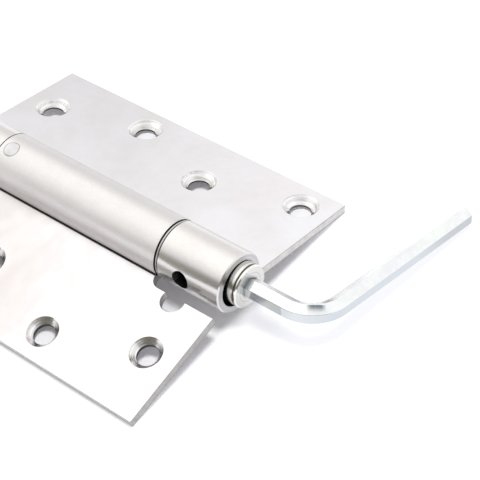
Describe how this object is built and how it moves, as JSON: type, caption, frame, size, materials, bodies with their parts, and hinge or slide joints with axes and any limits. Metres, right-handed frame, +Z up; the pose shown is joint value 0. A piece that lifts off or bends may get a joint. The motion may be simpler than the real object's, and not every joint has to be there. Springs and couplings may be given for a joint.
{
  "type": "adjustable spring hinge",
  "caption": "Adjustable spring butt hinge: two square leaves with staggered countersunk holes, a rolled barrel with a torsion spring, a tension adjuster, and its hex key.",
  "frame": {"origin": "on the barrel's axis at the middle of the hinge's length", "axes": "+X along the barrel towards the adjuster and its key, +Y towards the back leaf, +Z up, away from the table that both leaves' outer edges stand on"},
  "size_m": [0.1327, 0.1009, 0.0201],
  "materials": {
    "stainless_leaf": "satin stainless steel",
    "washer_steel": "ground steel",
    "rivet_steel": "satin steel, dressed flush",
    "plated_steel": "turned and nickel plated",
    "key_steel": "drawn hexagon bar, bright plated",
    "turned_steel": "turned steel",
    "spring_wire": "oiled spring steel",
    "nylon": "natural nylon"
  },
  "bodies": {
    "frame_side": {"back_leaf": "stainless_leaf", "thrust_washer": "washer_steel", "pivot_tube": "washer_steel", "far_pivot": "turned_steel", "far_rivet": "rivet_steel", "thrust_disc": "nylon"},
    "door_side": {"front_leaf": "stainless_leaf", "spring_anchor": "turned_steel", "anchor_rivet": "rivet_steel", "torsion_spring": "spring_wire", "guide_rod": "turned_steel"},
    "adjuster": {"tension_adjuster": "plated_steel", "spring_driver": "turned_steel", "driver_pin": "turned_steel"},
    "key": {"hex_key": "key_steel"}
  },
  "joints": [
    {"name": "leaf_swing", "type": "hinge", "parent": "frame_side", "child": "door_side", "pos_m": [0, 0, 0], "axis": [-1, 0, 0], "range_deg": [-60, 202], "deforming": ["torsion_spring"]},
    {"name": "adjuster_turn", "type": "hinge", "parent": "frame_side", "child": "adjuster", "pos_m": [0, 0.00046, 0.00019], "axis": [1, 0, 0], "range_deg": [0, 270], "deforming": ["torsion_spring"]},
    {"name": "key_slide", "type": "slide", "parent": "adjuster", "child": "key", "axis": [1, 0, 0], "range_m": [0, 0.012]}
  ]
}
